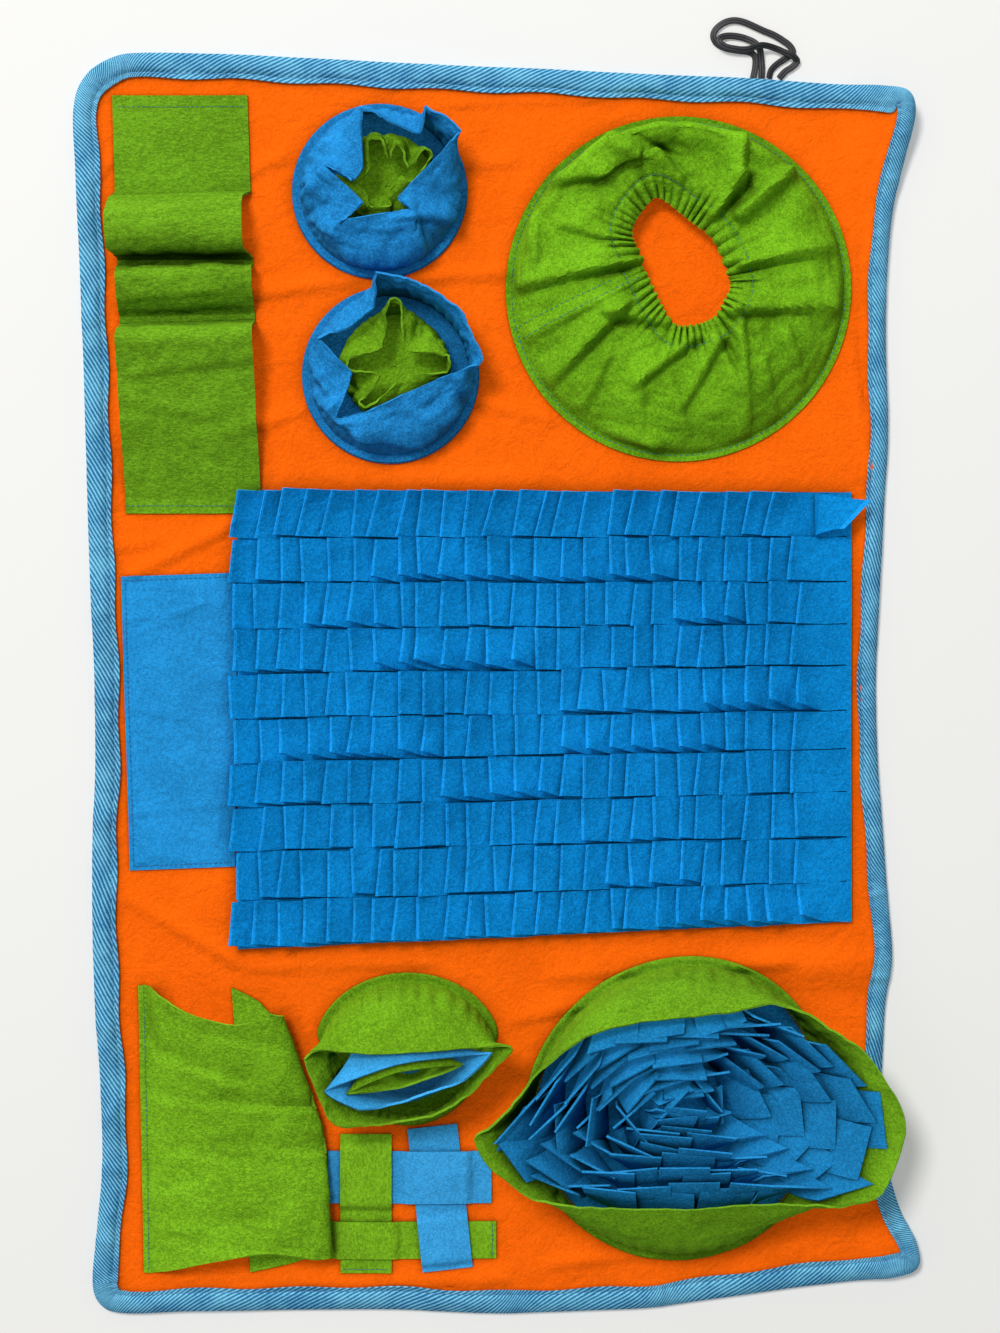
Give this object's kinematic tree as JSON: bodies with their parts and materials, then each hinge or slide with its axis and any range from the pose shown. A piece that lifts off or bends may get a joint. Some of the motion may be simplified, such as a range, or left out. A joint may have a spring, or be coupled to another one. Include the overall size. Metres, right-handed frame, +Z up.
{
  "type": "snuffle mat",
  "caption": "Flat felt foraging mat for a dog, with a fringe panel, standing loops, flower cups, a gathered ring, a flap tunnel, nested tubes, woven straps and a petal pouch for hiding treats.",
  "frame": {"origin": "under the middle of the mat's outline, on the surface that it lies on", "axes": "+Z up out of the mat's face, +Y along its long side towards the elastic loop's end, +X across it"},
  "size_m": [0.4461, 0.6854, 0.0505],
  "materials": {
    "orange_felt": "pressed polyester felt, orange, matt",
    "green_felt": "pressed polyester felt, leaf green, matt",
    "blue_felt": "pressed polyester felt, mid blue, matt",
    "blue_tape": "folded bias tape in fine twill, light blue, puckered along its stitch line",
    "black_elastic": "flat ribbed elastic, black"
  },
  "bodies": {
    "root": {"ground": "orange_felt", "binding": "blue_tape", "elastic_outer": "black_elastic", "elastic_inner": "black_elastic", "label_patch": "blue_felt", "loop_strip": "green_felt", "flap_tunnel": "green_felt", "gathered_ring": "green_felt", "cup_upper": "blue_felt", "cup_upper_insert": "green_felt", "cup_lower": "blue_felt", "cup_lower_insert": "green_felt", "nest_outer": "green_felt", "nest_middle": "blue_felt", "nest_inner": "green_felt", "pouch_wall": "green_felt", "petal_ring_1": "blue_felt", "petal_ring_2": "blue_felt", "petal_ring_3": "blue_felt", "petal_ring_4": "blue_felt", "petal_ring_5": "blue_felt", "strap_upright_left": "green_felt", "strap_upright_right": "blue_felt", "strap_cross_upper": "blue_felt", "strap_cross_lower": "green_felt", "fringe_base": "blue_felt", "fringe_strip_01": "blue_felt", "fringe_strip_02": "blue_felt", "fringe_strip_03": "blue_felt", "fringe_strip_04": "blue_felt", "fringe_strip_05": "blue_felt", "fringe_strip_06": "blue_felt", "fringe_strip_07": "blue_felt", "fringe_strip_08": "blue_felt", "fringe_strip_09": "blue_felt", "fringe_strip_10": "blue_felt", "fringe_strip_11": "blue_felt", "fringe_strip_12": "blue_felt", "fringe_strip_13": "blue_felt", "fringe_strip_14": "blue_felt", "fringe_strip_15": "blue_felt", "fringe_strip_16": "blue_felt", "fringe_strip_17": "blue_felt", "fringe_strip_18": "blue_felt", "fringe_strip_19": "blue_felt", "fringe_strip_20": "blue_felt", "fringe_strip_21": "blue_felt", "fringe_strip_22": "blue_felt", "fringe_strip_23": "blue_felt", "fringe_strip_24": "blue_felt", "fringe_strip_25": "blue_felt"}
  },
  "joints": []
}
